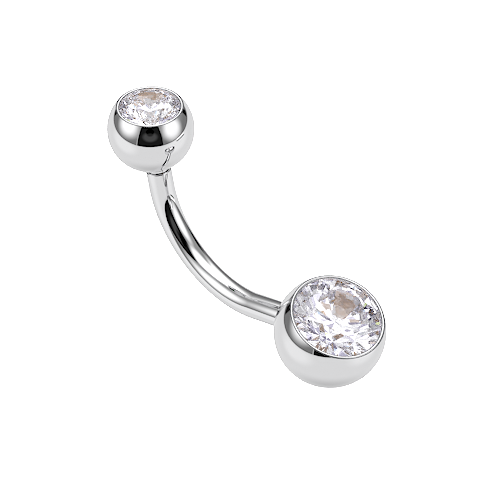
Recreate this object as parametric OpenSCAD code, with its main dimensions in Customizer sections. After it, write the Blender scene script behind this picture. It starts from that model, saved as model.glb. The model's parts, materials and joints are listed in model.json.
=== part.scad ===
/* [Bar] */
// Thickness of the bar
bar_d = 1.6; // [1.4:0.05:2]
// Radius of the bend, at the bar's middle line
bend_r = 6.45; // [5.6:0.05:8]
// Angle that the bend turns through
bend_angle = 95.4; // [85:0.2:105]
// Straight end of the bar under the top ball
top_straight = 1.3; // [1:0.05:3]
// Straight stretch between the bend and the lower ball
lower_straight = 3.2; // [2:0.05:5]
// Chamfer at the bar's open end
end_chamfer = 0.05; // [0.02:0.01:0.1]

/* [Top ball] */
// Diameter of the top ball
top_ball_d = 5.4; // [5:0.1:6]
// Diameter of the top bezel's rim
top_rim_d = 4.1; // [3.6:0.05:4.3]
// Tilt of the top stone from the screw's line, towards the inside of the bend
top_stone_tilt = 10.5; // [0:0.5:20]

/* [Lower ball] */
// Diameter of the lower ball
lower_ball_d = 6.8; // [6.2:0.1:7.5]
// Diameter of the lower bezel's rim
lower_rim_d = 5.85; // [5:0.05:6]
// Angle from the bar's line, run on through the ball, to the middle of the lower stone
lower_stone_angle = 52.9; // [45:0.1:65]

/* [Screw post] */
// Diameter of the post
post_d = 1; // [0.8:0.02:1.04]
// Length of the post inside the bar
post_len = 1.6; // [1:0.05:1.8]
// Chamfer at the post's tip
post_chamfer = 0.15; // [0.05:0.01:0.25]
// Running clearance round the post
post_clearance = 0.05; // [0.03:0.01:0.06]
// Bore left free past the post's tip
bore_spare = 0.15; // [0.1:0.01:0.3]
// Diameter of the shoulder under the top ball
shoulder_d = 1.36; // [1.24:0.02:1.4]
// Height of the shoulder below the ball
shoulder_h = 0.17; // [0.05:0.01:0.3]
// Gap between the shoulder and the bar's end
shoulder_gap = 0.03; // [0.02:0.01:0.06]

/* [Bezel] */
// Width of the bright rim round each stone
rim_w = 0.2; // [0.16:0.01:0.26]
// Thickness of the lip over the stone's edge
lip_t = 0.12; // [0.08:0.01:0.2]
// How far the lip reaches over the stone's edge
lip_hold = 0.06; // [0.04:0.01:0.1]
// Gap round the stone's edge
stone_gap = 0.03; // [0.02:0.01:0.05]
// Gap under the stone's lower facets
bed_gap = 0.09; // [0.07:0.01:0.15]
// Diameter of the hole drilled in the bed for the stone's point
bed_hole_d = 0.5; // [0.3:0.05:0.8]

/* [Cut of the stones] */
// Table's width, as a share of the stone's
table_share = 0.57; // [0.52:0.01:0.62]
// Slope of the upper main facets
crown_angle = 34.5; // [32:0.5:36]
// Slope of the lower main facets
pavilion_angle = 40.8; // [40:0.1:42]
// Thickness of the edge, as a share of the stone's width
girdle_share = 0.03; // [0.02:0.005:0.04]
// Reach of the star facets, as a share of the way from the table to the edge
star_share = 0.5; // [0.4:0.05:0.6]
// Reach of the lower edge facets, as a share of the way from the edge to the point
lower_half_share = 0.78; // [0.7:0.01:0.85]

/* [Hidden] */
$fn = 128;

STEEL = [0.80, 0.81, 0.82];
CRYSTAL = [0.93, 0.93, 0.97];

// Facets of one kind round a stone
FOLD = 8;
// Angle from one main facet to the next, and half of it
PITCH = 360 / FOLD;
HALF_PITCH = PITCH / 2;

// The straight stretches are a hair thinner than the bend, and sink into its ends
HAIR = 0.015;
SINK = 0.05;
// Stands for a reach that a shape doesn't have
NO_REACH = -1000;

bar_r = bar_d / 2;
straight_r = bar_r - HAIR;
top_r = top_ball_d / 2;
lower_r = lower_ball_d / 2;
top_rim_r = top_rim_d / 2;
lower_rim_r = lower_rim_d / 2;
post_r = post_d / 2;
bore_r = post_r + post_clearance;
shoulder_r = shoulder_d / 2;
bed_hole_r = bed_hole_d / 2;
bore_len = post_len + bore_spare;

// Stones' edge radii, from the bezels that hold them
top_stone_r = top_rim_r - rim_w + lip_hold;
lower_stone_r = lower_rim_r - rim_w + lip_hold;

// Height of a bezel's rim above the middle of its ball
function rim_height(ball_r, rim_r) = sqrt(ball_r ^ 2 - rim_r ^ 2);
// Height of a stone's upper edge, just clear of the lip's underside
function edge_height(ball_r, rim_r) =
    rim_height(ball_r, rim_r) - lip_t - stone_gap - lip_hold * tan(crown_angle);
// Heights of a stone's parts, from its radius
function crown_height(r) = r * (1 - table_share) * tan(crown_angle);
function girdle_height(r) = 2 * r * girdle_share;
function pavilion_depth(r) = r * tan(pavilion_angle);

// The bend's plane holds the middle of the bar, both balls and both stones.
// Its middle point is the middle of the bend, x runs from the top ball to the
// lower one, and y points to the inside of the bend.
half_bend = bend_angle / 2;
function on_bend(angle) = bend_r * [sin(angle), -cos(angle), 0];
function in_plane(angle) = [cos(angle), sin(angle), 0];
top_way = in_plane(180 - half_bend);
lower_way = in_plane(half_bend);
top_stone_way = in_plane(180 - half_bend - top_stone_tilt);
lower_stone_way = in_plane(half_bend + lower_stone_angle);
top_end = on_bend(-half_bend) + top_straight * top_way;
lower_bend_end = on_bend(half_bend);
top_centre = top_end + (shoulder_gap + shoulder_h + top_r) * top_way;
lower_centre = lower_bend_end + (lower_straight + sqrt(lower_r ^ 2 - bar_r ^ 2)) * lower_way;

// The ring lies on both balls and on the middle of its bend. The floor's
// upward normal has a part of length lean in the bend's plane, and the three
// heights above the floor, which are the three radii, settle it.
spread = top_centre.x * lower_centre.y - top_centre.y * lower_centre.x;
function from_heights(top_h, lower_h) = [
    (lower_centre.y * top_h - top_centre.y * lower_h) / spread,
    (top_centre.x * lower_h - lower_centre.x * top_h) / spread
];
base_part = from_heights(top_r - bar_r, lower_r - bar_r);
lean_part = from_heights(bend_r, bend_r);
quad_a = lean_part * lean_part - 1;
quad_b = base_part * lean_part;
quad_c = base_part * base_part;
lean = (quad_b + sqrt(quad_b ^ 2 - quad_a * quad_c)) / quad_a;
up = [
    base_part.x - lean * lean_part.x,
    base_part.y - lean * lean_part.y,
    sqrt(1 - lean ^ 2)
];
top_foot = top_centre - top_r * up;
lower_foot = lower_centre - lower_r * up;
along = (top_foot - lower_foot) / norm(top_foot - lower_foot);
across = cross(up, along);

// How far each shape reaches along a direction, to find the middle of the box
function disc_reach(centre, axis, height, radius, way) =
    centre * way + height * (axis * way) + radius * sqrt(1 - min(1, (axis * way) ^ 2));
function ball_reach(centre, ball_r, rim_r, stone_r, axis, way) = max(
    axis * way < rim_height(ball_r, rim_r) / ball_r ? centre * way + ball_r : NO_REACH,
    disc_reach(centre, axis, rim_height(ball_r, rim_r), rim_r, way),
    disc_reach(centre, axis, edge_height(ball_r, rim_r) + crown_height(stone_r),
        stone_r * table_share, way)
);
function bend_reach(way) =
    abs(atan2(way.x, -way.y)) < half_bend ? bend_r * norm([way.x, way.y]) + bar_r : NO_REACH;
function reach(way) = max(
    ball_reach(top_centre, top_r, top_rim_r, top_stone_r, top_stone_way, way),
    ball_reach(lower_centre, lower_r, lower_rim_r, lower_stone_r, lower_stone_way, way),
    bend_reach(way)
);
function box_middle(way) = (reach(way) - reach(-way)) / 2;

module laid_down() {
    multmatrix([
        [along.x, along.y, along.z, -box_middle(along)],
        [across.x, across.y, across.z, -box_middle(across)],
        [up.x, up.y, up.z, -top_foot * up],
        [0, 0, 0, 1]
    ])
        children();
}

// Puts a piece that points along Z at a place in the bend's plane
module facing(centre, way) {
    translate(centre)
        rotate([0, 90, atan2(way.y, way.x)])
            children();
}

// Cylinder with a chamfer at its far end
module chamfered_pin(radius, length, chamfer) {
    rotate_extrude()
        polygon([
            [0, 0], [radius, 0], [radius, length - chamfer],
            [radius - chamfer, length], [0, length]
        ]);
}

// Ball whose cap above the rim is turned away
module open_ball(ball_r, rim_r) {
    difference() {
        sphere(r = ball_r);
        translate([0, 0, rim_height(ball_r, rim_r)])
            cylinder(r = ball_r, h = ball_r);
    }
}

// Space cut for a stone: the opening in the rim, the groove under the lip for
// the stone's edge, the bed for its lower facets and the drilled hole in the bed
module stone_pocket(ball_r, rim_r, stone_r) {
    top = edge_height(ball_r, rim_r);
    bed = top - girdle_height(stone_r) - bed_gap;
    lip = rim_height(ball_r, rim_r) - lip_t;
    groove_r = stone_r + stone_gap;
    opening_r = rim_r - rim_w;
    tip = bed - pavilion_depth(groove_r);
    rotate_extrude()
        polygon([
            [0, tip - bed_hole_r],
            [bed_hole_r, tip - bed_hole_r],
            [bed_hole_r, tip + pavilion_depth(bed_hole_r)],
            [groove_r, bed],
            [groove_r, lip],
            [opening_r, lip],
            [opening_r, ball_r],
            [0, ball_r]
        ]);
}

// Round brilliant with its upper edge at height 0
module brilliant(r) {
    crown = crown_height(r);
    edge = girdle_height(r);
    depth = pavilion_depth(r);
    table_r = r * table_share;
    flat_r = table_r * cos(HALF_PITCH);
    star_r = flat_r + (r - flat_r) * star_share;
    half_r = r * (1 - lower_half_share);
    star_z = (r - star_r * cos(HALF_PITCH)) * tan(crown_angle);
    half_z = half_r * cos(HALF_PITCH) * tan(pavilion_angle) - depth - edge;
    around = [0:FOLD - 1];
    // Ring of points, one for each fold, turned half a pitch where shift is 0.5
    function ring(radius, z, shift) = [
        for (i = around) [
            radius * cos((i + shift) * PITCH),
            radius * sin((i + shift) * PITCH),
            z
        ]
    ];
    points = concat(
        ring(table_r, crown, 0),
        ring(star_r, star_z, 0.5),
        ring(r, 0, 0),
        ring(r, 0, 0.5),
        ring(r, -edge, 0),
        ring(r, -edge, 0.5),
        ring(half_r, half_z, 0.5),
        [[0, 0, -edge - depth]]
    );
    // Number of a point from its ring and its place in it
    function at(ring_number, i) = ring_number * FOLD + (i + FOLD) % FOLD;
    table = 0;
    star = 1;
    upper = 2;
    upper_mid = 3;
    under = 4;
    under_mid = 5;
    half = 6;
    tip = 7 * FOLD;
    table_face = [[for (i = around) at(table, FOLD - 1 - i)]];
    stars = [for (i = around) [at(table, i), at(table, i + 1), at(star, i)]];
    kites = [for (i = around) [at(table, i), at(star, i), at(upper, i), at(star, i - 1)]];
    upper_halves = [
        for (i = around, side = [0, 1])
            side == 0
                ? [at(star, i), at(upper_mid, i), at(upper, i)]
                : [at(star, i), at(upper, i + 1), at(upper_mid, i)]
    ];
    edges = [
        for (i = around, side = [0, 1])
            side == 0
                ? [at(upper, i), at(upper_mid, i), at(under_mid, i), at(under, i)]
                : [at(upper_mid, i), at(upper, i + 1), at(under, i + 1), at(under_mid, i)]
    ];
    lower_halves = [
        for (i = around, side = [0, 1])
            side == 0
                ? [at(half, i), at(under, i), at(under_mid, i)]
                : [at(half, i), at(under_mid, i), at(under, i + 1)]
    ];
    mains = [for (i = around) [tip, at(half, i - 1), at(under, i), at(half, i)]];
    polyhedron(
        points,
        concat(table_face, stars, kites, upper_halves, edges, lower_halves, mains)
    );
}

module bent_bar() {
    rotate([0, 0, -90 - half_bend])
        rotate_extrude(angle = bend_angle)
            translate([bend_r, 0])
                circle(r = bar_r);
    facing(on_bend(-half_bend) - SINK * top_way, top_way)
        chamfered_pin(straight_r, SINK + top_straight, end_chamfer);
    facing(lower_bend_end - SINK * lower_way, lower_way)
        cylinder(r = straight_r, h = SINK + lower_straight + bar_r);
}

module bar_and_lower_ball() {
    color(STEEL)
        laid_down()
            difference() {
                union() {
                    bent_bar();
                    facing(lower_centre, lower_stone_way)
                        open_ball(lower_r, lower_rim_r);
                }
                facing(lower_centre, lower_stone_way)
                    stone_pocket(lower_r, lower_rim_r, lower_stone_r);
                facing(top_end - bore_len * top_way, top_way)
                    cylinder(r = bore_r, h = bore_len + bar_r);
            }
}

// The shoulder and the post are rooted in the ball as deep as the shoulder's radius
module top_ball() {
    root = top_centre - (top_r - shoulder_r) * top_way;
    color(STEEL)
        laid_down()
            difference() {
                union() {
                    facing(top_centre, top_stone_way)
                        open_ball(top_r, top_rim_r);
                    facing(root, -top_way)
                        cylinder(r = shoulder_r, h = shoulder_r + shoulder_h);
                    facing(root, -top_way)
                        chamfered_pin(
                            post_r,
                            shoulder_r + shoulder_h + shoulder_gap + post_len,
                            post_chamfer
                        );
                }
                facing(top_centre, top_stone_way)
                    stone_pocket(top_r, top_rim_r, top_stone_r);
            }
}

module lower_stone() {
    color(CRYSTAL)
        laid_down()
            facing(lower_centre + edge_height(lower_r, lower_rim_r) * lower_stone_way, lower_stone_way)
                brilliant(lower_stone_r);
}

module top_stone() {
    color(CRYSTAL)
        laid_down()
            facing(top_centre + edge_height(top_r, top_rim_r) * top_stone_way, top_stone_way)
                brilliant(top_stone_r);
}

bar_and_lower_ball();
top_ball();
lower_stone();
top_stone();
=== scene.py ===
# %% [markdown]
# A navel ring is a short barbell bent like a banana: a bar of 1.6 mm steel with a ball
# at each end, and a clear stone set in each ball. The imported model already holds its
# sizes and its two bodies, the barbell and the ball that screws off it. So this script
# loads it as a fixed frame and only adds what a camera sees: finely turned metal, a
# finish for metal and stones, and a studio.

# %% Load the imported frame
import json
from math import cos, degrees, pi, radians, sin, sqrt, tan

import bmesh
import bpy
from mathutils import Matrix, Vector


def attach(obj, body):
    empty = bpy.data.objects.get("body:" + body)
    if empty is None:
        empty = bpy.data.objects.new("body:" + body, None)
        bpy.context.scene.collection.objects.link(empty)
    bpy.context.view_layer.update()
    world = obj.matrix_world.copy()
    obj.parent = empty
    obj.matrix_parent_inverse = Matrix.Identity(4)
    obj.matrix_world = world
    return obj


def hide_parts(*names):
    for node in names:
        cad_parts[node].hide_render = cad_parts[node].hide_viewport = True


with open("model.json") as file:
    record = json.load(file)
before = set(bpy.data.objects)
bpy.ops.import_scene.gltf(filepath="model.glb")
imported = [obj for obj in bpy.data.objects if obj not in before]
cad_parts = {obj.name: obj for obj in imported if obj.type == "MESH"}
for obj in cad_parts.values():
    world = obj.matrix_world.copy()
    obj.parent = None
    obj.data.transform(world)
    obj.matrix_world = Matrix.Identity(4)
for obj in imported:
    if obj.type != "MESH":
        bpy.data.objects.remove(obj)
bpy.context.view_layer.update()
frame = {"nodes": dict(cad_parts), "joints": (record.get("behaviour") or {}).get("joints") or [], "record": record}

# %% [markdown]
# Jewellery is drawn in millimetres and Blender works in metres, so every size below is
# a number of millimetres times MM. They are the sizes that the solids were built with:
# a piece made from the same numbers falls on its solid with no fitting by eye.

# %% Sizes of the bar, the balls and the screw post
MM = 0.001

BAR_R = 0.80 * MM
BEND_R = 6.45 * MM
HALF_BEND = radians(95.4 / 2)
TOP_STRAIGHT = 1.30 * MM
LOWER_STRAIGHT = 3.20 * MM
END_CHAMFER = 0.05 * MM

TOP_BALL_R = 2.70 * MM
TOP_RIM_R = 2.05 * MM
TOP_STONE_TILT = radians(10.5)
LOWER_BALL_R = 3.40 * MM
LOWER_RIM_R = 2.925 * MM
LOWER_STONE_ANGLE = radians(52.9)

POST_R = 0.50 * MM
POST_LEN = 1.60 * MM
POST_CHAMFER = 0.15 * MM
BORE_R = 0.55 * MM
BORE_LEN = 1.75 * MM
SHOULDER_R = 0.68 * MM
SHOULDER_H = 0.17 * MM
SHOULDER_GAP = 0.03 * MM
print(f"Bar {2 * BAR_R / MM:.1f} mm thick, bent through {degrees(2 * HALF_BEND):.1f} degrees")

# %% Sizes of the bezels and the stones
RIM_W = 0.20 * MM
LIP_T = 0.12 * MM
LIP_HOLD = 0.06 * MM
STONE_GAP = 0.03 * MM
BED_GAP = 0.09 * MM
BED_HOLE_R = 0.25 * MM
CROWN_ANGLE = radians(34.5)
PAVILION_ANGLE = radians(40.8)
GIRDLE_SHARE = 0.03


def rim_height(ball_r, rim_r):
    """Height of a bezel's rim above the middle of its ball."""
    return sqrt(ball_r**2 - rim_r**2)


def edge_height(ball_r, rim_r):
    """Height of a stone's upper edge, just clear of the lip's underside."""
    return rim_height(ball_r, rim_r) - LIP_T - STONE_GAP - LIP_HOLD * tan(CROWN_ANGLE)


print(f"Rims {rim_height(TOP_BALL_R, TOP_RIM_R) / MM:.2f} and "
      f"{rim_height(LOWER_BALL_R, LOWER_RIM_R) / MM:.2f} mm above the middles of their balls")

# %% [markdown]
# The bar, both balls and both stones share one plane, the plane of the bend. Rather than
# copy its slope as numbers, the script reads it from the record: the piercing's mount
# lies at the middle of the bend and points along the bar, and the joint runs along the
# top screw. Two directions and a point are enough to lay out the whole plane.

# %% The plane of the bend
mount = next(m for m in frame["record"]["mounts"] if m["name"] == "piercing")
screw_line = Vector(frame["joints"][0]["axis"]).normalized()
bend_middle = Vector(mount["pos_m"])
plane_x = -Vector(mount["axis"]).normalized()
plane_z = plane_x.cross(screw_line).normalized()
plane_y = plane_z.cross(plane_x)
plane_axes = Matrix((plane_x, plane_y, plane_z)).transposed().to_4x4()
BEND_PLANE = Matrix.Translation(bend_middle + BEND_R * plane_y) @ plane_axes


def on_bend(angle):
    """Point on the bar's middle line, by its angle from the middle of the bend."""
    return BEND_R * Vector((sin(angle), -cos(angle), 0))


def in_plane(angle):
    """Direction in the plane of the bend."""
    return Vector((cos(angle), sin(angle), 0))


top_way = in_plane(pi - HALF_BEND)
lower_way = in_plane(HALF_BEND)
top_stone_way = in_plane(pi - HALF_BEND - TOP_STONE_TILT)
lower_stone_way = in_plane(HALF_BEND + LOWER_STONE_ANGLE)
top_end = on_bend(-HALF_BEND) + TOP_STRAIGHT * top_way
top_centre = top_end + (SHOULDER_GAP + SHOULDER_H + TOP_BALL_R) * top_way
lower_reach = LOWER_STRAIGHT + sqrt(LOWER_BALL_R**2 - BAR_R**2)
lower_centre = on_bend(HALF_BEND) + lower_reach * lower_way
for title, centre in (("Top", top_centre), ("Lower", lower_centre)):
    print(title, "ball at", [round(c / MM, 3) for c in BEND_PLANE @ centre], "mm")

# %% [markdown]
# The metal is turned on a lathe in real life, and edit mode can work the same way: a
# circle is the bar stock, and each pull adds a ring of faces, wider or narrower, further
# along the line. A list of radius and distance then reads like a turner's drawing.
# Points nearer to each other than TOUCH count as one point.

# %% Tools for turned metal
TOUCH = 0.001 * MM


def start(add, **settings):
    """Adds a primitive with nothing else selected, and opens it in edit mode."""
    bpy.ops.object.select_all(action="DESELECT")
    add(**settings)
    bpy.ops.object.transform_apply(location=True, rotation=True, scale=True)
    bpy.ops.object.mode_set(mode="EDIT")
    bpy.ops.mesh.select_mode(type="VERT")
    bpy.ops.mesh.select_all(action="SELECT")


def choose(test):
    """Selects the points of the open mesh whose place passes the test."""
    mesh = bmesh.from_edit_mesh(bpy.context.object.data)
    for point in mesh.verts:
        point.select = test(point.co)
    mesh.select_flush_mode()
    bmesh.update_edit_mesh(bpy.context.object.data)


class Ring:
    """The selected ring of points round a line: its middle, the line's way and its radius."""

    def __init__(self, middle, way, radius):
        self.middle = middle
        self.way = way
        self.radius = radius

    def pull(self, radius, along):
        """Extrudes the ring, brings it to a new radius and moves it along the line."""
        bpy.ops.mesh.extrude_region_move()
        bpy.ops.transform.resize(value=(radius / self.radius,) * 3, center_override=self.middle)
        bpy.ops.transform.translate(value=along * self.way)
        self.middle = self.middle + along * self.way
        self.radius = radius

    def turn(self, profile):
        """Follows a drawing of radius and distance along the line from where it starts."""
        here = 0
        for radius, distance in profile:
            self.pull(radius, distance - here)
            here = distance

    def close(self):
        """Puts one flat face across the ring."""
        bpy.ops.mesh.edge_face_add()


def facing(centre, way):
    """Matrix that takes a piece turned along Z to a place in the plane of the bend."""
    across = Vector((0, 0, 1)).cross(way)
    turned = Matrix((Vector((0, 0, -1)), across, way)).transposed()
    return BEND_PLANE @ Matrix.Translation(centre) @ turned.to_4x4()


# %% [markdown]
# A turned piece is finished by rounding its sharp edges, which catch the light as thin
# lines. Where a bevel meets a fine groove, some of its points fall together and have to
# be merged, or the mesh isn't closed. Merge by Distance never looks nearer than 0.001 mm,
# and the bevels leave gaps of just that size, so what it closed would change from run to
# run. The Weld modifier goes finer and takes only the points that fell together.

# %% Rounding, placing and naming a piece
ROUNDING_STEPS = 4
SHARP_FROM = radians(30)
SMOOTH_UP_TO = radians(32)
SAME_POINT = 0.0004 * MM


def apply(piece, kind, **settings):
    """Adds a modifier with its settings and applies it."""
    modifier = piece.modifiers.new(kind.title(), kind)
    for name, value in settings.items():
        setattr(modifier, name, value)
    bpy.ops.object.modifier_apply(modifier=modifier.name)


def hand_over(name, seat, edge_width, body, node):
    """Closes edit mode, rounds the edges, puts the piece in its seat and names its body."""
    bpy.ops.mesh.select_all(action="SELECT")
    bpy.ops.mesh.remove_doubles(threshold=TOUCH)
    bpy.ops.mesh.normals_make_consistent(inside=False)
    bpy.ops.object.mode_set(mode="OBJECT")
    piece = bpy.context.object
    piece.name = name
    piece.data.name = name
    apply(
        piece,
        "BEVEL",
        width=edge_width,
        segments=ROUNDING_STEPS,
        limit_method="ANGLE",
        angle_limit=SHARP_FROM,
    )
    apply(piece, "WELD", merge_threshold=SAME_POINT)
    bpy.ops.object.shade_smooth_by_angle(angle=SMOOTH_UP_TO)
    piece.matrix_world = seat
    bpy.ops.object.transform_apply(location=True, rotation=True, scale=True)
    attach(piece, body)
    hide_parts(node)
    print(f"{name}: {len(piece.data.polygons)} faces")
    return piece


# %% [markdown]
# The bar starts as one circle where the bend begins. Spin sweeps it round the bend's
# centre, which is how a bending jig works, and keeps its thickness exactly. The last
# ring is then pulled on into the lower ball, and the first one the other way, where it
# gets a small chamfer and the bore for the screw.

# %% The bent bar
ROUND_BAR = 96
BEND_STEPS = 96
BAR_EDGE = 0.015 * MM
INTO_BALL = 0.35 * MM

start(
    bpy.ops.mesh.primitive_circle_add,
    vertices=ROUND_BAR,
    radius=BAR_R,
    location=on_bend(-HALF_BEND),
    rotation=(0, pi / 2, -HALF_BEND),
)
bpy.ops.mesh.spin(steps=BEND_STEPS, angle=-2 * HALF_BEND, center=(0, 0, 0), axis=(0, 0, 1))
lower_end = Ring(on_bend(HALF_BEND), lower_way, BAR_R)
lower_end.pull(BAR_R, LOWER_STRAIGHT + INTO_BALL)
lower_end.close()
choose(lambda point: (point - on_bend(-HALF_BEND)).dot(top_way) > -TOUCH and point.x < 0)
open_end = Ring(on_bend(-HALF_BEND), top_way, BAR_R)
open_end.turn((
    (BAR_R, TOP_STRAIGHT - END_CHAMFER),
    (BAR_R - END_CHAMFER, TOP_STRAIGHT),
    (BORE_R, TOP_STRAIGHT),
    (BORE_R, TOP_STRAIGHT - BORE_LEN),
))
open_end.close()
bar = hand_over("bent_bar", BEND_PLANE, BAR_EDGE, "barbell", "bar_and_lower_ball")

# %% [markdown]
# Each ball is a bezel at the same time: the top of the ball is turned away, and the
# stone sits in a pocket under a thin lip of metal. The setter rolls the lip over the
# stone, which leaves a narrow round bead with a fine groove on either side. A sphere is
# cut just under the rim, and its open edge is pulled through the outer groove, over the
# bead, through the inner groove and over a low sill, down behind the stone's edge and
# into the bed. Bisect joins its cut to any ring nearer than its threshold, which is
# 0.1 mm unless told otherwise. At this size that would bend the rim, so the threshold is
# made very fine.

# %% A ball with its bezel and the bed for the stone
ROUND_BALL = 192
BALL_RINGS = 128
BEZEL_EDGE = 0.006 * MM
FINE_CUT = 1e-6 * MM
BEAD_W = 0.15 * MM
BEAD_H = 0.035 * MM
BEAD_STEPS = 10
GROOVE_W = 0.04 * MM
GROOVE_D = 0.025 * MM
GROOVE_DRAFT = 0.002 * MM
SILL_W = 0.014 * MM
SILL_DEPTH = 0.015 * MM
SILL_EDGE_W = 0.005 * MM
SILL_EDGE_DEPTH = 0.03 * MM


def turn_ball(name, ball_r, rim_r, seat, body, node):
    """Turns one ball from the outside of its rim to the bottom of its bed."""
    opening_r = rim_r - RIM_W
    stone_r = opening_r + LIP_HOLD
    pocket_r = stone_r + STONE_GAP
    bed = edge_height(ball_r, rim_r) - 2 * stone_r * GIRDLE_SHARE - BED_GAP
    tip = bed - pocket_r * tan(PAVILION_ANGLE)
    cut = rim_height(ball_r, rim_r) - BEAD_H
    cut_r = sqrt(ball_r**2 - cut**2)
    start(
        bpy.ops.mesh.primitive_uv_sphere_add,
        segments=ROUND_BALL,
        ring_count=BALL_RINGS,
        radius=ball_r,
    )
    bpy.ops.mesh.bisect(
        plane_co=(0, 0, cut), plane_no=(0, 0, 1), clear_outer=True, threshold=FINE_CUT
    )
    choose(lambda point: point.z > cut - TOUCH)
    bead_middle = rim_r - BEAD_W / 2
    half_out = cut_r - GROOVE_W - bead_middle
    bead = []
    for step in range(BEAD_STEPS + 1):
        angle = pi * step / BEAD_STEPS
        half = half_out if angle < pi / 2 else BEAD_W / 2
        bead.append((bead_middle + cos(angle) * half, sin(angle) * BEAD_H))
    edge = Ring(Vector((0, 0, cut)), Vector((0, 0, 1)), cut_r)
    edge.turn((
        (cut_r - GROOVE_DRAFT, -GROOVE_D),
        (cut_r - GROOVE_W, -GROOVE_D),
        *bead,
        (rim_r - BEAD_W, -GROOVE_D),
        (opening_r + SILL_W, -GROOVE_D),
        (opening_r + SILL_W, -SILL_DEPTH),
        (opening_r + SILL_EDGE_W, -SILL_EDGE_DEPTH),
        (opening_r, BEAD_H - LIP_T),
        (pocket_r, BEAD_H - LIP_T),
        (pocket_r, bed - cut),
        (BED_HOLE_R, tip + BED_HOLE_R * tan(PAVILION_ANGLE) - cut),
        (BED_HOLE_R, tip - BED_HOLE_R - cut),
    ))
    edge.close()
    return hand_over(name, seat, BEZEL_EDGE, body, node)


top_seat = facing(top_centre, top_stone_way)
lower_seat = facing(lower_centre, lower_stone_way)
top_bezel = turn_ball("top_bezel_ball", TOP_BALL_R, TOP_RIM_R, top_seat, "screw_ball", "top_ball")
lower_bezel = turn_ball(
    "lower_bezel_ball", LOWER_BALL_R, LOWER_RIM_R, lower_seat, "barbell", "bar_and_lower_ball"
)

# %% [markdown]
# The top ball comes off, and its screw post is seen only then. It is turned in one piece
# from its root in the ball: the shoulder that stops on the bar, then the post with the
# grooves of its thread, and a chamfer at the tip that finds the bore.

# %% The shoulder and the screw post
ROUND_POST = 64
POST_EDGE = 0.01 * MM
GROOVES = 8
THREAD_DEPTH = 0.06 * MM
THREAD_ROOT_R = POST_R - THREAD_DEPTH
BARE_NECK = 0.12 * MM
ROOT = TOP_BALL_R - SHOULDER_R
SHOULDER_END = SHOULDER_R + SHOULDER_H
THREAD_START = SHOULDER_END + BARE_NECK
THREAD_END = SHOULDER_END + SHOULDER_GAP + POST_LEN - POST_CHAMFER
PITCH = (THREAD_END - THREAD_START) / GROOVES
ONE_GROOVE = ((0.40, THREAD_ROOT_R), (0.50, THREAD_ROOT_R), (0.90, POST_R), (1.00, POST_R))

start(bpy.ops.mesh.primitive_circle_add, vertices=ROUND_POST, radius=SHOULDER_R)
bpy.ops.mesh.edge_face_add()
drawing = [(SHOULDER_R, SHOULDER_END), (POST_R, SHOULDER_END), (POST_R, THREAD_START)]
for groove in range(GROOVES):
    foot = THREAD_START + groove * PITCH
    for share, radius in ONE_GROOVE:
        drawing.append((radius, foot + share * PITCH))
drawing.append((POST_R - POST_CHAMFER, THREAD_END + POST_CHAMFER))
stem = Ring(Vector((0, 0, 0)), Vector((0, 0, 1)), SHOULDER_R)
stem.turn(drawing)
stem.close()
post_seat = facing(top_centre - ROOT * top_way, -top_way)
post = hand_over("screw_post", post_seat, POST_EDGE, "screw_ball", "top_ball")

# %% [markdown]
# Finishes are node trees, and the maths in them is easier to read as plain Python. The
# small class below wraps one socket: adding or multiplying two of them adds the Math
# node. Every other node comes from one method, add.

# %% Tools for node trees
MIX_FIRST = 6
MIX_SECOND = 7
MIX_COLOUR = 2


class Value:
    """One socket's number, which Python's own signs turn into Math nodes."""

    def __init__(self, tree, socket):
        self.tree = tree
        self.socket = socket

    def __add__(self, other):
        return self.tree.maths("ADD", self, other)

    def __sub__(self, other):
        return self.tree.maths("SUBTRACT", self, other)

    def __mul__(self, other):
        return self.tree.maths("MULTIPLY", self, other)

    def __truediv__(self, other):
        return self.tree.maths("DIVIDE", self, other)

    def __radd__(self, other):
        return self.tree.maths("ADD", other, self)

    def __rsub__(self, other):
        return self.tree.maths("SUBTRACT", other, self)

    def __rmul__(self, other):
        return self.tree.maths("MULTIPLY", other, self)

    def __rtruediv__(self, other):
        return self.tree.maths("DIVIDE", other, self)


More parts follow.
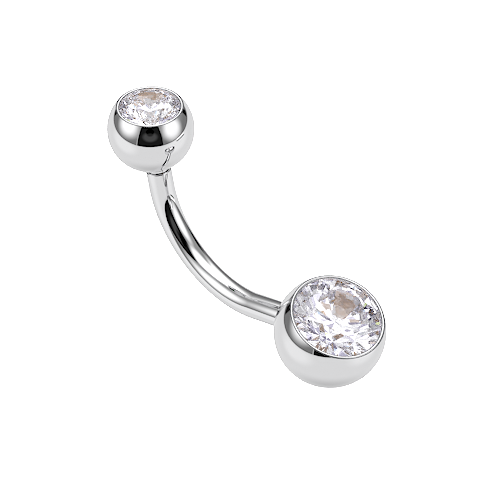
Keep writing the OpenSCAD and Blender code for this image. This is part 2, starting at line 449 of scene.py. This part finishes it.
class Tree:
    """The node tree of a material or of the studio, and the one way to add a node to it."""

    def __init__(self, owner):
        owner.use_nodes = True
        self.nodes = owner.node_tree.nodes
        self.links = owner.node_tree.links
        self.nodes.clear()

    def add(self, kind, sockets=None, out=0, **settings):
        """Adds a node: first its settings, then the numbers and links of its sockets."""
        node = self.nodes.new("ShaderNode" + kind)
        for name, value in settings.items():
            setattr(node, name, value)
        for key, value in (sockets or {}).items():
            if isinstance(value, Value):
                self.links.new(value.socket, node.inputs[key])
            else:
                node.inputs[key].default_value = value
        return Value(self, node.outputs[out]) if node.outputs else node

    def maths(self, operation, first, second=0.0):
        """Adds a Math node: a sum, a product or a function of numbers."""
        return self.add("Math", {0: first, 1: second}, operation=operation)

    def ramp(self, value, stops):
        """One of several paints, taken by a number from 0 to 1, with no blending between them."""
        made = self.add("ValToRGB", {0: value}, out="Color")
        band = made.socket.node.color_ramp
        band.interpolation = "CONSTANT"
        for begins, _ in stops[1:]:
            band.elements.new(begins)
        in_order = sorted(band.elements, key=lambda element: element.position)
        for stop, (begins, paint) in zip(in_order, stops):
            stop.position = begins
            stop.color = (*paint, 1.0)
        return made

    def rise(self, value, low, high, at_low=0.0, at_high=1.0):
        """Passes softly from at_low to at_high as a value goes from low to high."""
        return self.add(
            "MapRange",
            {"Value": value, "From Min": low, "From Max": high, "To Min": at_low, "To Max": at_high},
            interpolation_type="SMOOTHSTEP",
        )

    def fall(self, value, low, high):
        """Passes softly from 1 to 0 as a value goes from low to high."""
        return self.rise(value, low, high, 1.0, 0.0)

    def blend(self, share, first, second):
        """A number that goes from the first to the second as the share goes from 0 to 1."""
        return first + share * (second - first)

    def tint(self, share, first, second):
        """A colour that goes from the first to the second as the share goes from 0 to 1."""
        return self.add(
            "Mix",
            {"Factor": share, MIX_FIRST: (*first, 1.0), MIX_SECOND: (*second, 1.0)},
            out=MIX_COLOUR,
            data_type="RGBA",
        )

    def cloud(self, place, scale, detail):
        """Soft noise from 0 to 1, by place."""
        return self.add("TexNoise", {"Vector": place, "Scale": scale, "Detail": detail}, out="Fac")

    def lot(self, place, scale, pattern):
        """Cuts space into cells and draws a number from 0 to 1 for each, in a numbered pattern."""
        cell = self.add(
            "TexVoronoi",
            {"Vector": place, "W": pattern, "Scale": scale, "Randomness": 1.0},
            out="Color",
            voronoi_dimensions="4D",
        )
        return self.add("SeparateXYZ", {0: cell}, out=0)


def new_finish(name):
    """A material with an empty tree, and the place on the piece that its patterns read."""
    material = bpy.data.materials.new(name)
    tree = Tree(material)
    return material, tree, tree.add("TexCoord", out="Object")


# %% [markdown]
# Surgical steel polished to a mirror shows the room more than itself, so its colour is
# nearly white and even. What makes it metal and not chrome paint is slight: a roughness
# that drifts a little, and the faintest unevenness left by the polishing wheel.

# %% The steel's finish
STEEL_DULL = (0.78, 0.78, 0.79)
STEEL_BRIGHT = (0.80, 0.80, 0.81)
STEEL_ROUGHNESS = 0.012
STEEL_DRIFT = 0.03
DRIFT_SCALE = 900.0
WHEEL_SCALE = 9000.0
WHEEL_MARK = 0.01 * MM
WHEEL_SHARE = 0.02

steel, tree, place = new_finish("polished_steel")
cloudy = tree.cloud(place, DRIFT_SCALE, 3.0)
swirl = tree.cloud(place, WHEEL_SCALE, 2.0)
uneven = tree.add("Bump", {"Height": swirl, "Strength": WHEEL_SHARE, "Distance": WHEEL_MARK})
mirror = tree.add(
    "BsdfPrincipled",
    {
        "Base Color": tree.tint(cloudy, STEEL_DULL, STEEL_BRIGHT),
        "Metallic": 1.0,
        "Roughness": STEEL_ROUGHNESS + STEEL_DRIFT * cloudy,
        "Normal": uneven,
    },
)
tree.add("OutputMaterial", {"Surface": mirror})
steel_pieces = (bar, top_bezel, lower_bezel, post)
for piece in steel_pieces:
    piece.data.materials.clear()
    piece.data.materials.append(steel)
print("Steel on", [piece.name for piece in steel_pieces])

# %% [markdown]
# The grooves beside the bead are painted dark. This is painted shade for the narrow crevices, which also hold
# polishing paste, since no cloth reaches into them. This dark line is what draws the rim of a set stone.

# %% The paste and painted shade in the grooves
# Dark tones of the painted shade in the grooves, with the paste in them
GROOVE_SHADE_DARK = (0.05, 0.05, 0.055)
GROOVE_SHADE_PALE = (0.16, 0.16, 0.17)
GROOVE_TONE_SCALE = 2500.0
GROOVE_SHALLOWEST = 0.004 * MM
GROOVE_DEEPEST = GROOVE_D + 0.002 * MM

groove_shade, tree, place = new_finish("groove_shade_and_paste")
groove_shade_tone = tree.tint(tree.cloud(place, GROOVE_TONE_SCALE, 2.0), GROOVE_SHADE_DARK, GROOVE_SHADE_PALE)
dull = tree.add("BsdfPrincipled", {"Base Color": groove_shade_tone, "Roughness": 0.7, "Specular IOR Level": 0.1})
tree.add("OutputMaterial", {"Surface": dull})


def from_line(spot):
    """Distance of a point from the line through the middle of its ball and its stone."""
    return sqrt(spot.x**2 + spot.y**2)


def coat(ball, seat, material, belongs):
    """Gives a finish to the faces of a ball whose middles, seen from its seat, pass the test."""
    ball.data.materials.append(material)
    slot = len(ball.data.materials) - 1
    to_ball = seat.inverted()
    chosen = [face for face in ball.data.polygons if belongs(to_ball @ face.center)]
    for face in chosen:
        face.material_index = slot
    print(f"{material.name} on {len(chosen)} faces of {ball.name}")


def in_grooves(ball_r, rim_r):
    """Test for the walls and the floors of the two grooves beside a bead."""
    cut = rim_height(ball_r, rim_r) - BEAD_H
    inner_r = rim_r - RIM_W + SILL_W - TOUCH
    outer_r = sqrt(ball_r**2 - cut**2)
    return lambda spot: (
        GROOVE_SHALLOWEST < cut - spot.z < GROOVE_DEEPEST and inner_r < from_line(spot) < outer_r
    )


BEZELS = (
    (top_bezel, top_seat, TOP_BALL_R, TOP_RIM_R),
    (lower_bezel, lower_seat, LOWER_BALL_R, LOWER_RIM_R),
)
# The faces in both grooves get the painted groove shade
for ball, seat, ball_r, rim_r in BEZELS:
    coat(ball, seat, groove_shade, in_grooves(ball_r, rim_r))

# %% [markdown]
# Under each stone lies a bed that no polishing wheel reaches. It is matt and warm with
# the cement that holds the stone. The tan, grey and brown of its flakes are a guess: they
# are there to give the patches seen through the far side of a stone, where light slips
# past the lower facets. Each flake draws a number, and the ramp gives it one paint. The
# bed also glows a little, in place of the stray light that reaches a real one.

# %% The beds under the stones
FLAKE_PAINTS = (
    (0.00, (0.86, 0.85, 0.86)),
    (0.24, (0.40, 0.41, 0.46)),
    (0.42, (0.64, 0.49, 0.38)),
    (0.66, (0.78, 0.75, 0.74)),
    (0.80, (0.42, 0.21, 0.07)),
    (0.89, (0.94, 0.92, 0.90)),
)
FLAKE_SCALE = 1700.0
FLAKE_PATTERN = 3.0
BELOW_LIP = LIP_T + 0.01 * MM
SKIN_SHARE = 0.97
HOLE_SHARE = 1.01

cement, tree, place = new_finish("setting_cement")
flake = tree.ramp(tree.lot(place, FLAKE_SCALE, FLAKE_PATTERN), FLAKE_PAINTS)
matt = tree.add(
    "BsdfPrincipled",
    {
        "Base Color": flake,
        "Metallic": 1.0,
        "Roughness": 0.45,
        "Emission Color": flake,
        "Emission Strength": 0.22,
    },
)
tree.add("OutputMaterial", {"Surface": matt})


def in_bed(ball_r, rim_r):
    """Test for the faces below the lip and inside the ball, but for the hole at the bottom."""
    top = rim_height(ball_r, rim_r) - BELOW_LIP
    return lambda spot: (
        spot.z < top
        and spot.length < SKIN_SHARE * ball_r
        and from_line(spot) > HOLE_SHARE * BED_HOLE_R
    )


for ball, seat, ball_r, rim_r in BEZELS:
    coat(ball, seat, cement, in_bed(ball_r, rim_r))

# %% [markdown]
# The stones keep the solids' own facets, which were cut to a brilliant's real angles.
# All that they need is the glass: a high refractive index, so that light is thrown back
# from the lower facets and each one shows another part of the studio.

# %% The stones' finish
CLEAR = (1.0, 1.0, 1.0)
FAINT_BLUE = (0.985, 0.985, 1.0)
HAZE_SCALE = 1200.0
STONE_INDEX = 2.15
DEPTH_COLOUR = (0.62, 0.60, 0.72, 1.0)
DEPTH_DENSITY = 45.0

crystal, tree, place = new_finish("clear_stone")
glass = tree.add(
    "BsdfPrincipled",
    {
        "Base Color": tree.tint(tree.cloud(place, HAZE_SCALE, 2.0), CLEAR, FAINT_BLUE),
        "Roughness": 0.0,
        "IOR": STONE_INDEX,
        "Transmission Weight": 1.0,
    },
)
depth = tree.add("VolumeAbsorption", {"Color": DEPTH_COLOUR, "Density": DEPTH_DENSITY})
tree.add("OutputMaterial", {"Surface": glass, "Volume": depth})
for name in ("lower_stone", "top_stone"):
    stone = frame["nodes"][name]
    for holder in stone.material_slots:
        holder.material = crystal
    print(name, "has", len(stone.data.polygons), "triangles")

# %% [markdown]
# The floor is a plain pale sheet. It lies at height 0, where the ring rests by itself on
# its two balls and the middle of its bend.

# %% The floor
FLOOR_R = 0.9
PAPER_GREY = (0.93, 0.93, 0.93)
PAPER_WHITE = (0.95, 0.95, 0.95)
FIBRE_SCALE = 400.0

bpy.ops.object.select_all(action="DESELECT")
bpy.ops.mesh.primitive_circle_add(vertices=128, radius=FLOOR_R, fill_type="NGON")
floor = bpy.context.object
floor.name = "pale_floor"
floor.visible_glossy = False
paper, tree, place = new_finish("pale_paper")
tone = tree.tint(tree.cloud(place, FIBRE_SCALE, 4.0), PAPER_GREY, PAPER_WHITE)
sheet = tree.add("BsdfPrincipled", {"Base Color": tone, "Roughness": 0.9})
tree.add("OutputMaterial", {"Surface": sheet})
floor.data.materials.append(paper)
print("Floor", 2 * FLOOR_R, "m across")

# %% [markdown]
# The camera stands where the photograph was taken from: its place was found from the
# outlines of the balls, the rims and the bar. It looks down at the floor by about 54
# degrees.

# %% The camera
LENS_MM = 184.97
EYE = Vector((-26.085, -85.562, 124.640)) * MM
LOOK = Vector((0.17284, 0.56115, -0.80946)).normalized()
PICTURE_UP = Vector((0.72259, -0.63072, -0.28295))

scene = bpy.context.scene
right = LOOK.cross(PICTURE_UP).normalized()
above = right.cross(LOOK)
camera_axes = Matrix((right, above, -LOOK)).transposed().to_4x4()
camera = bpy.data.objects.new("photo_camera", bpy.data.cameras.new("photo_camera"))
scene.collection.objects.link(camera)
camera.matrix_world = Matrix.Translation(EYE) @ camera_axes
camera.data.lens = LENS_MM
camera.data.clip_start = 0.01
camera.data.clip_end = 10
scene.camera = camera
print(f"The camera looks down by {degrees(pi / 2 - LOOK.angle(Vector((0, 0, -1)))):.1f} degrees")

# %% [markdown]
# A mirror finish is only as good as the room it stands in. This room is a white tent
# over a light table, with a soft box at the left and one at the right, and a dark gap in
# front where the camera looks in. It is drawn in the sky, by height above the tent's
# table and by the angle round it, both in degrees, so that every piece of metal shows
# the same room. The table's edge is a little higher in front than at the back.

# %% Directions in the studio
TENT_TILT = radians(47)
EDGE_DROP = 8.2
EDGE_SWELL = 3.6

tent_up = cos(TENT_TILT) * above - sin(TENT_TILT) * LOOK
tent_front = -sin(TENT_TILT) * above - cos(TENT_TILT) * LOOK
world = bpy.data.worlds.new("studio")
scene.world = world
tree = Tree(world)
seen = tree.add("TexCoord", out="Generated")


def part_along(way):
    """How far the seen direction points along a given way, from -1 to 1."""
    return tree.add("VectorMath", {0: seen, 1: way}, out="Value", operation="DOT_PRODUCT")


upwards = part_along(tent_up)
height = tree.maths("ARCSINE", upwards) * (180 / pi)
swing = tree.maths("ARCTAN2", part_along(right), part_along(tent_front))
turn = swing * (180 / pi)
turn_away = tree.maths("ABSOLUTE", turn)
over_edge = height + EDGE_DROP - EDGE_SWELL * tree.maths("COSINE", swing)


def glow_at(turn_to, height_to, half_width, half_height, core=0.35):
    """A soft patch of the tent, 1 in its core and 0 outside its half width and height."""
    aside = (turn - turn_to) / half_width
    over = (height - height_to) / half_height
    reach = tree.maths("SQRT", aside * aside + over * over)
    return tree.fall(reach, core, 1.0)


# %% [markdown]
# The tent is grey cloth at the sides, brighter upwards, and white at the back and in the
# roof, which begins higher in the shade at the left. A soft box is a patch of light on
# the cloth: its numbers below are its turn, its height and its half width and height.
# The other pairs say between which degrees one thing passes into the next.

# %% The tent and its soft boxes
WHITE_CLOTH = 1.70
GREY_CLOTH = 0.36
CLOTH_FOOT = (0, 22)
FOOT_SHARE = 0.6
BOX_LIGHT = 0.95
LEFT_BOX = (-74, 29, 46, 38)
RIGHT_BOX = (68, 22, 38, 38)
BACK_SIDES = (122, 150)
BACK_FOOT = (12, 42)
ROOF_EDGE = (47, 72)
LEFT_SHADE = (-80, 60, 60, 20)
LEFT_SHADE_LIFT = 14.0

soft_boxes = glow_at(*LEFT_BOX) + glow_at(*RIGHT_BOX)
wall = GREY_CLOTH * tree.rise(height, *CLOTH_FOOT, FOOT_SHARE, 1.0) + BOX_LIGHT * soft_boxes
back = tree.rise(turn_away, *BACK_SIDES) * tree.rise(height, *BACK_FOOT)
wall = tree.blend(back, wall, WHITE_CLOTH)
roof = tree.rise(height - LEFT_SHADE_LIFT * glow_at(*LEFT_SHADE), *ROOF_EDGE)
tent = tree.blend(roof, wall, WHITE_CLOTH)
print("Soft boxes at", LEFT_BOX[0], "and", RIGHT_BOX[0], "degrees from the front")

# %% [markdown]
# The gap in front is nearly black, with a faint and shapeless glow in it. The cloth is
# folded back beside it, which makes a narrow seam that is paler at the left.

# %% The gap in front
GAP_SIDES = (31.0, 32.0)
GAP_TOP = (46, 60)
GAP_DARK = 0.012
SEAM_SIDES = (33.0, 34.5)
SEAM_TOP = (20, 40)
SEAM_TURN = (-30, 30)
SEAM_LEFT = 0.50
SEAM_RIGHT = 0.20
GAP_GLOW = (0, 22, 26, 16)
GAP_SHADOW = (0, 33, 15, 12)
GLOW_LIGHT = 0.06
SHADOW_DEPTH = 0.05
SHARP_CORE = 0.5

seam = tree.fall(turn_away, *SEAM_SIDES) * tree.fall(height, *SEAM_TOP)
tent = tree.blend(seam, tent, tree.rise(turn, *SEAM_TURN, SEAM_LEFT, SEAM_RIGHT))
faint = GLOW_LIGHT * glow_at(*GAP_GLOW, SHARP_CORE)
faint = faint - SHADOW_DEPTH * glow_at(*GAP_SHADOW, SHARP_CORE)
gap = tree.fall(turn_away, *GAP_SIDES) * tree.fall(height, *GAP_TOP)
tent = tree.blend(gap, tent, GAP_DARK + faint)
print("Gap", 2 * GAP_SIDES[0], "degrees wide")

# %% [markdown]
# The table glows from below, least in its middle and most at its two sides, and it is a
# shade darker towards its edge. Over the edge runs the tent's dark hem. At the right a
# rail draws a dark line and a bright one beside it, and a crease darkens both back
# corners.

# %% The light table and its edge
TABLE_MIDDLE = (-90, -55)
MIDDLE_LIGHT = 0.62
TABLE_LIGHT = 0.86
SIDE_LIGHT = 0.14
LEFT_SIDE = (-68, -20, 46, 26)
RIGHT_SIDE = (68, -20, 46, 26)
EDGE_STRIP = (-5, 0)
EDGE_SHARE = 0.85
HEM_TOP = (0.6, 1.6)
HEM_DARK = 0.13
RAIL_TURN = 79.0
RAIL_ENDS = (11, 14)
RAIL_DARK_FROM = (-7.0, -6.2)
RAIL_DARK = 0.12
RAIL_BRIGHT_FROM = (-4.6, -4.0)
RAIL_BRIGHT = 1.40
TABLE_TO_TENT = (-0.8, 0.2)
CREASE_FROM = (121, 124)
CREASE_TO = (132, 137)
CREASE_FOOT = (-9, -6)
CREASE_TOP = (12, 26)
CREASE_DEPTH = 0.93

table = tree.rise(height, *TABLE_MIDDLE, MIDDLE_LIGHT, TABLE_LIGHT)
table = table + SIDE_LIGHT * (glow_at(*LEFT_SIDE) + glow_at(*RIGHT_SIDE))
table = table * tree.rise(over_edge, *EDGE_STRIP, 1.0, EDGE_SHARE)
hem = tree.fall(over_edge, *HEM_TOP) * (1.0 - seam)
tent = tree.blend(hem, tent, HEM_DARK)
rail = tree.fall(tree.maths("ABSOLUTE", turn - RAIL_TURN), *RAIL_ENDS)
table = tree.blend(rail * tree.rise(over_edge, *RAIL_DARK_FROM), table, RAIL_DARK)
table = tree.blend(rail * tree.rise(over_edge, *RAIL_BRIGHT_FROM), table, RAIL_BRIGHT)
room = tree.blend(tree.rise(over_edge, *TABLE_TO_TENT), table, tent)
crease = tree.rise(turn_away, *CREASE_FROM) * tree.fall(turn_away, *CREASE_TO)
crease = crease * tree.rise(height, *CREASE_FOOT) * tree.fall(height, *CREASE_TOP)
room = room * (1.0 - CREASE_DEPTH * crease)
print(f"Table's edge {EDGE_DROP - EDGE_SWELL:.1f} to {EDGE_DROP + EDGE_SWELL:.1f} degrees down")

# %% [markdown]
# A cut stone splits light into colours, its fire. The glass here splits none, so each
# way out of a stone gets a paint of its own: mostly white, some mauve and grey, and a
# few small tan, green and blue ones. The room's brightness lifts or dims it. The camera
# itself sees plain white behind the ring.

# %% The fire in the stones
FIRE_PAINTS = (
    (0.000, (1.00, 1.00, 1.00)),
    (0.400, (0.66, 0.64, 0.74)),
    (0.510, (1.00, 1.00, 1.00)),
    (0.680, (0.40, 0.38, 0.49)),
    (0.760, (1.00, 1.00, 1.00)),
    (0.800, (0.22, 0.20, 0.28)),
    (0.870, (0.50, 0.41, 0.35)),
    (0.905, (1.00, 1.00, 1.00)),
    (0.945, (0.64, 0.74, 0.36)),
    (0.960, (0.46, 0.58, 0.74)),
    (0.982, (0.50, 0.32, 0.18)),
)
FIRE_SCALE = 10.0
FIRE_PATTERN = 53.0
ROOM_RANGE = (0.0, 0.8)
FIRE_DIM = 0.58
FIRE_BRIGHT = 1.38
BACKDROP = (0.96, 0.96, 0.96, 1.0)

paint = tree.ramp(tree.lot(seen, FIRE_SCALE, FIRE_PATTERN), FIRE_PAINTS)
strength = tree.rise(room, *ROOM_RANGE, FIRE_DIM, FIRE_BRIGHT)
fiery = tree.add("VectorMath", {0: paint, "Scale": strength}, operation="SCALE")
in_metal = tree.add("Background", {"Color": room, "Strength": 1.0})
in_stones = tree.add("Background", {"Color": fiery, "Strength": 1.0})
behind = tree.add("Background", {"Color": BACKDROP, "Strength": 1.0})
through_stone = tree.add("LightPath", out="Is Transmission Ray")
straight = tree.add("LightPath", out="Is Camera Ray")
mirrored = tree.add("MixShader", {0: through_stone, 1: in_metal, 2: in_stones})
sky = tree.add("MixShader", {0: straight, 1: mirrored, 2: behind})
tree.add("OutputWorld", {"Surface": sky})
print("The studio has", len(tree.nodes), "nodes")

# %% [markdown]
# One wide soft lamp overhead keeps the floor pale. The metal doesn't mirror it, because
# the tent above is what the metal should show, and it throws no shadow, as in the photo.

# %% The lamp over the floor
LAMP_HEIGHT = 0.6
LAMP_SIZE = 1.0
LAMP_WATTS = 13.0

lamp = bpy.data.objects.new("overhead", bpy.data.lights.new("overhead", "AREA"))
scene.collection.objects.link(lamp)
lamp.location = (0, 0, LAMP_HEIGHT)
lamp.data.size = LAMP_SIZE
lamp.data.energy = LAMP_WATTS
lamp.data.use_shadow = False
lamp.visible_glossy = False
lamp.visible_transmission = False
print("Lamp of", LAMP_WATTS, "W at", LAMP_HEIGHT, "m")

# %% [markdown]
# Light is thrown about many times inside a stone before it comes out, and the renderer
# counts those mirrorings as glossy bounces. With too few of them the last ones stay
# black, as dark flecks near the stone's edge. The picture is shown as it is, without a
# film look, and sharpened a little, as product photographs are.

# %% Bounces of light and the finished picture
STONE_BOUNCES = 40
ALL_BOUNCES = 48
SHARPENING = 0.18

scene.cycles.max_bounces = ALL_BOUNCES
scene.cycles.transmission_bounces = STONE_BOUNCES
scene.cycles.glossy_bounces = STONE_BOUNCES
scene.view_settings.view_transform = "Standard"
scene.use_nodes = True
desk = scene.node_tree
desk.nodes.clear()
layers = desk.nodes.new("CompositorNodeRLayers")
crisp = desk.nodes.new("CompositorNodeFilter")
crisp.filter_type = "SHARPEN_DIAMOND"
crisp.inputs["Fac"].default_value = SHARPENING
shown = desk.nodes.new("CompositorNodeComposite")
desk.links.new(layers.outputs["Image"], crisp.inputs["Image"])
desk.links.new(crisp.outputs["Image"], shown.inputs["Image"])
print("Light is followed through up to", STONE_BOUNCES, "mirrorings in a stone")
